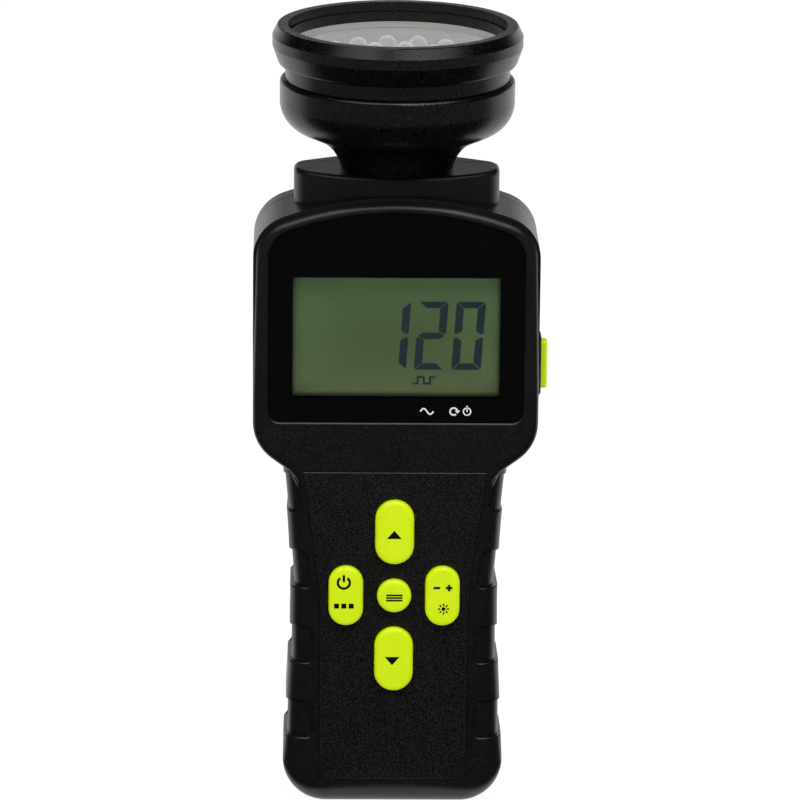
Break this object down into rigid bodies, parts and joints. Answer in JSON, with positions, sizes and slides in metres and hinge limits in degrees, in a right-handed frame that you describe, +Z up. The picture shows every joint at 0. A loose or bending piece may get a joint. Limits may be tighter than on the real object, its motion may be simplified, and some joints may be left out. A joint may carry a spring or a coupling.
{
  "type": "handheld stroboscope",
  "caption": "Handheld LED stroboscope: round lamp head on a flared neck, arched display housing, keypad grip with finger pockets, side button and lift-off battery door.",
  "frame": {"origin": "on the flat heel, on the axis of the lamp head", "axes": "+Z up the instrument towards the lamp, -Y out of the display, +X to the reader's right"},
  "size_m": [0.076, 0.064, 0.2049],
  "materials": {
    "case_plastic": "fine spark texture",
    "window_black": "polished, printed from behind",
    "display_grey": "liquid crystal, reflective",
    "black_inner": "plain moulded",
    "diffuser": "milky",
    "strip_rubber": "striped",
    "overlay_black": "pebbled film",
    "lime": "satin",
    "lime_side": "satin",
    "switch_black": "plain",
    "circuit_green": "solder mask",
    "chip_black": "plain",
    "screw_steel": "zinc plated",
    "capacitor_sleeve": "shrink sleeve",
    "coil_black": "ferrite",
    "plug_white": "plain",
    "wire_red": "insulation",
    "cell_sleeve": "printed sleeve, plain",
    "spring_steel": "nickel plated",
    "brass": "turned",
    "head_plastic": "satin",
    "ring_plastic": "satin",
    "lens_clear": "clear",
    "gasket_rubber": "plain",
    "liner_grey": "smooth",
    "led_board_black": "black solder mask",
    "led_clear": "clear"
  },
  "bodies": {
    "instrument": {"front_cover": "case_plastic", "rear_cover": "case_plastic", "display_window": "window_black", "display_glass": "display_grey", "display_frame": "black_inner", "backlight_panel": "diffuser", "contact_strip": "strip_rubber", "keypad_overlay": "overlay_black", "key_switches": "switch_black", "main_board": "circuit_green", "controller_chip": "chip_black", "board_screws": "screw_steel", "side_base": "black_inner", "side_switch": "switch_black", "driver_board": "circuit_green", "driver_screws": "screw_steel", "flash_capacitor": "capacitor_sleeve", "drive_coil": "coil_black", "board_link": "switch_black", "wire_plug": "plug_white", "head_wires": "wire_red", "battery_cells": "cell_sleeve", "contact_springs": "spring_steel", "contact_plates": "spring_steel", "case_screws": "screw_steel", "tripod_socket": "brass", "head_bowl": "head_plastic", "bezel_ring": "ring_plastic", "lens": "lens_clear", "lens_gasket": "gasket_rubber", "lens_retainer": "ring_plastic", "reflector_liner": "liner_grey", "led_board": "led_board_black", "leds": "led_clear", "head_washer": "screw_steel", "head_nut": "screw_steel"},
    "key_up_body": {"key_up": "lime"},
    "key_down_body": {"key_down": "lime"},
    "key_power_body": {"key_power": "lime"},
    "key_fine_body": {"key_fine": "lime"},
    "key_function_body": {"key_function": "lime"},
    "side_button_body": {"side_button": "lime_side"},
    "battery_door_body": {"battery_door": "case_plastic"}
  },
  "joints": [
    {"name": "key_up_press", "type": "slide", "parent": "instrument", "child": "key_up_body", "axis": [0, 1, 0], "range_m": [0, 0.0008], "stiffness_N_per_m": 500, "springref_m": -0.001},
    {"name": "key_down_press", "type": "slide", "parent": "instrument", "child": "key_down_body", "axis": [0, 1, 0], "range_m": [0, 0.0008], "stiffness_N_per_m": 500, "springref_m": -0.001},
    {"name": "key_power_press", "type": "slide", "parent": "instrument", "child": "key_power_body", "axis": [0, 1, 0], "range_m": [0, 0.0008], "stiffness_N_per_m": 500, "springref_m": -0.001},
    {"name": "key_fine_press", "type": "slide", "parent": "instrument", "child": "key_fine_body", "axis": [0, 1, 0], "range_m": [0, 0.0008], "stiffness_N_per_m": 500, "springref_m": -0.001},
    {"name": "key_function_press", "type": "slide", "parent": "instrument", "child": "key_function_body", "axis": [0, 1, 0], "range_m": [0, 0.0008], "stiffness_N_per_m": 500, "springref_m": -0.001},
    {"name": "side_button_press", "type": "slide", "parent": "instrument", "child": "side_button_body", "axis": [-1, 0, 0], "range_m": [0, 0.0008], "stiffness_N_per_m": 500, "springref_m": -0.001},
    {"name": "battery_door_lift", "type": "slide", "parent": "instrument", "child": "battery_door_body", "axis": [0, 1, 0], "range_m": [0, 0.014]}
  ]
}
